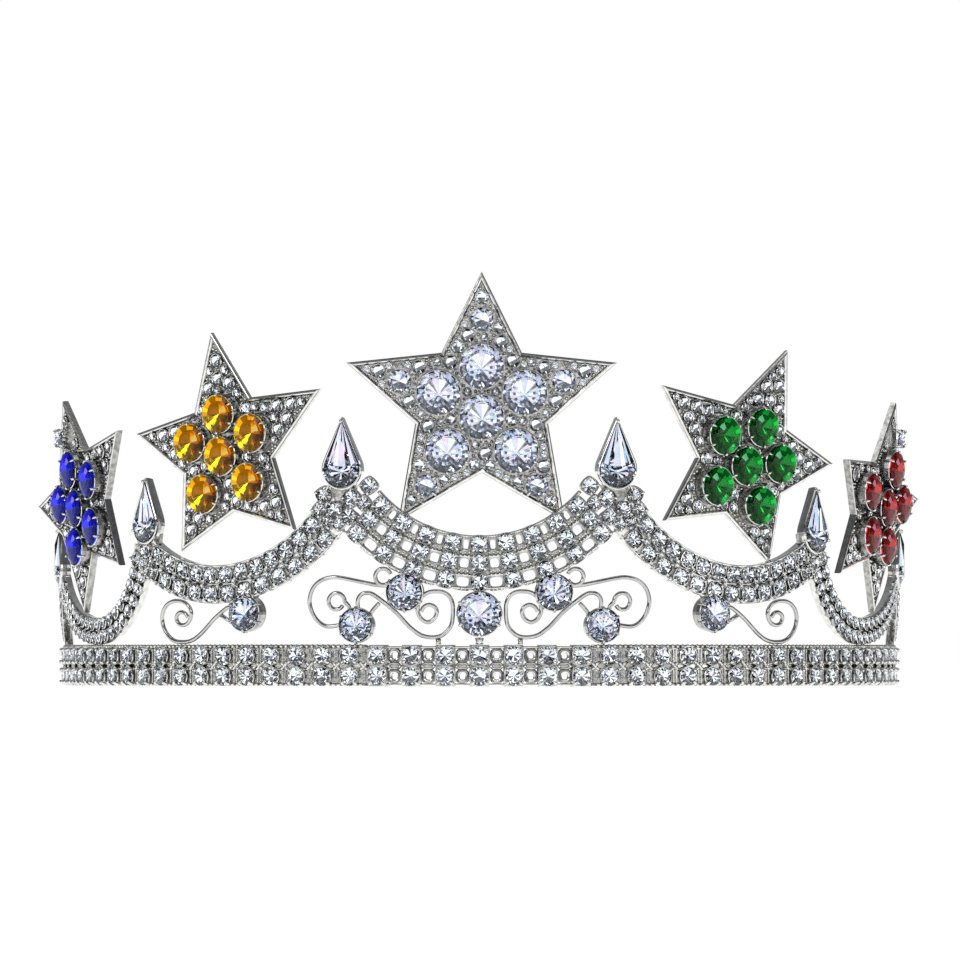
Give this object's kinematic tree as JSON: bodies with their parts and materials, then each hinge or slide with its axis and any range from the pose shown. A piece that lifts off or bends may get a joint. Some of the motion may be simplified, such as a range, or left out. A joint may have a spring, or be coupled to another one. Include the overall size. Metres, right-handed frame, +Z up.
{
  "type": "regalia crown",
  "caption": "Open-backed silver-coloured crown: a stone-set band under wire scrolls, scallops and pear drops, topped with gem-set stars in white, yellow, green, blue and red.",
  "frame": {"origin": "centre of the band's circle, in the plane of the band's flat lower edge", "axes": "+Z up, -Y towards the front star, +X towards the wearer's left side, which is on the right in a front view"},
  "size_m": [0.1575, 0.0903, 0.0713],
  "materials": {
    "silver_metal": "bright plated",
    "clear_glass": "cut and polished",
    "amber_glass": "cut and polished",
    "green_glass": "cut and polished",
    "blue_glass": "cut and polished",
    "red_glass": "cut and polished"
  },
  "bodies": {
    "root": {"band": "silver_metal", "scallop_front": "silver_metal", "scallop_left": "silver_metal", "scallop_right": "silver_metal", "star_white": "silver_metal", "star_yellow": "silver_metal", "star_green": "silver_metal", "star_blue": "silver_metal", "star_red": "silver_metal", "centre_setting": "silver_metal", "scroll_front_left": "silver_metal", "scroll_front_right": "silver_metal", "scroll_side_left": "silver_metal", "scroll_side_right": "silver_metal", "band_stones": "clear_glass", "scallop_stones": "clear_glass", "accent_stones": "clear_glass", "white_stone_1": "clear_glass", "white_stone_2": "clear_glass", "white_stone_3": "clear_glass", "white_stone_4": "clear_glass", "white_stone_5": "clear_glass", "white_stone_6": "clear_glass", "pear_stone_l1": "clear_glass", "pear_stone_l2": "clear_glass", "pear_stone_l3": "clear_glass", "pear_stone_r1": "clear_glass", "pear_stone_r2": "clear_glass", "pear_stone_r3": "clear_glass", "centre_stone": "clear_glass", "scroll_stone_bl": "clear_glass", "scroll_stone_br": "clear_glass", "scroll_stone_cl": "clear_glass", "scroll_stone_cr": "clear_glass", "scroll_stone_dl": "clear_glass", "scroll_stone_dr": "clear_glass", "yellow_stone_1": "amber_glass", "yellow_stone_2": "amber_glass", "yellow_stone_3": "amber_glass", "yellow_stone_4": "amber_glass", "yellow_stone_5": "amber_glass", "yellow_stone_6": "amber_glass", "green_stone_1": "green_glass", "green_stone_2": "green_glass", "green_stone_3": "green_glass", "green_stone_4": "green_glass", "green_stone_5": "green_glass", "green_stone_6": "green_glass", "blue_stone_1": "blue_glass", "blue_stone_2": "blue_glass", "blue_stone_3": "blue_glass", "blue_stone_4": "blue_glass", "blue_stone_5": "blue_glass", "blue_stone_6": "blue_glass", "red_stone_1": "red_glass", "red_stone_2": "red_glass", "red_stone_3": "red_glass", "red_stone_4": "red_glass", "red_stone_5": "red_glass", "red_stone_6": "red_glass"}
  },
  "joints": []
}
